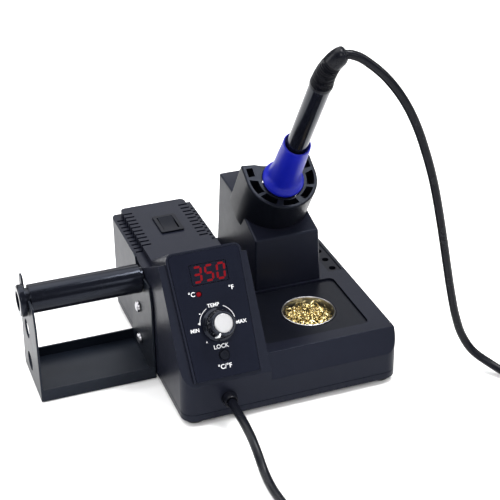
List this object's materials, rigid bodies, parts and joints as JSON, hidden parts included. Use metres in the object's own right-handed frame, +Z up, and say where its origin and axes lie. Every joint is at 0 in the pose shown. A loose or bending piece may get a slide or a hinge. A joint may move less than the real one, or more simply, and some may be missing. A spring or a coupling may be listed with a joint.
{
  "type": "soldering iron station",
  "caption": "Soldering station with a slanted control panel, sloping iron holder with lift-out iron, brass wool cleaner in the deck and a solder reel bracket.",
  "frame": {"origin": "on the surface it stands on, under the middle of the box round the object without its loose cord", "axes": "+Z up, -Y towards the user (the control panel side), +X to the user's right (the iron holder side)"},
  "size_m": [0.3228, 0.3912, 0.2451],
  "materials": {
    "case_plastic": "fine satin charcoal moulding",
    "black_plastic": "satin black moulding",
    "panel_plastic": "satin blue-black label plate with white legends",
    "gloss_black": "gloss black",
    "bracket_paint": "satin black powder coat",
    "steel": "bright nickel-plated steel",
    "aluminium": "turned bright aluminium",
    "blue_silicone": "matt royal blue silicone",
    "black_rubber": "satin black rubber",
    "brass": "fine brass shavings",
    "circuit_board": "green solder mask",
    "copper": "lacquered copper winding",
    "laminations": "varnished steel laminations",
    "smoked_window": "dark red filter window",
    "red_lamp": "red lens",
    "ceramic": "pale ceramic or nylon"
  },
  "bodies": {
    "station": {"base_plate": "case_plastic", "upper_housing": "case_plastic", "holder_tower": "case_plastic", "rest_collar": "black_plastic", "switch_bezel": "black_plastic", "cleaner_tray": "black_plastic", "tip_strip": "black_plastic", "mains_inlet": "black_plastic", "tact_switch": "black_plastic", "power_triac": "black_plastic", "front_panel": "panel_plastic", "smoothing_capacitor": "panel_plastic", "reel_bracket": "bracket_paint", "rest_liner": "steel", "bracket_screw_lower": "steel", "bracket_screw_upper": "steel", "pot_nut": "steel", "fuse": "steel", "case_screw_front_left": "steel", "case_screw_front_right": "steel", "case_screw_rear_left": "steel", "case_screw_rear_right": "steel", "heat_sink": "aluminium", "foot_front_left": "black_rubber", "foot_front_right": "black_rubber", "foot_rear_left": "black_rubber", "foot_rear_right": "black_rubber", "cord_gland": "black_rubber", "station_cord": "black_rubber", "cord_coil": "black_rubber", "floor_cord": "black_rubber", "control_board": "circuit_board", "power_board": "circuit_board", "transformer_coil": "copper", "transformer_core": "laminations", "potentiometer": "laminations", "display_window": "smoked_window", "unit_led": "red_lamp", "display_module": "ceramic"},
    "iron": {"grip_sleeve": "blue_silicone", "handle_tube": "gloss_black", "barrel_nut": "steel", "heater_barrel": "steel", "soldering_tip": "steel", "heater_core": "ceramic", "strain_relief": "black_rubber", "iron_cord": "black_rubber"},
    "knob": {"control_knob": "gloss_black", "knob_cap": "aluminium", "knob_shaft": "steel"},
    "button": {"unit_button": "black_plastic"},
    "rocker": {"power_rocker": "black_plastic"},
    "spindle": {"reel_spindle": "gloss_black"},
    "cleaner": {"cleaner_cup": "steel", "brass_wool": "brass"}
  },
  "joints": [
    {"name": "iron_lift", "type": "slide", "parent": "station", "child": "iron", "axis": [0, -0.5446, 0.8387], "range_m": [0, 0.11]},
    {"name": "knob_turn", "type": "hinge", "parent": "station", "child": "knob", "pos_m": [-0.003, -0.06381, 0.06326], "axis": [0, -0.8192, 0.5736], "range_deg": [-270, 0]},
    {"name": "button_press", "type": "slide", "parent": "station", "child": "button", "axis": [0, 0.8192, -0.5736], "range_m": [0, 0.0008], "stiffness_N_per_m": 500, "springref_m": -0.001},
    {"name": "rocker_tilt", "type": "hinge", "parent": "station", "child": "rocker", "pos_m": [-0.0011, 0.0493, 0.079], "axis": [1, 0, 0], "range_deg": [-16, 0]},
    {"name": "spindle_spin", "type": "hinge", "parent": "station", "child": "spindle", "pos_m": [-0.0742, 0.0038, 0.068], "axis": [1, 0, 0], "continuous": true},
    {"name": "cleaner_lift", "type": "slide", "parent": "station", "child": "cleaner", "axis": [0, 0, 1], "range_m": [0, 0.04]}
  ]
}
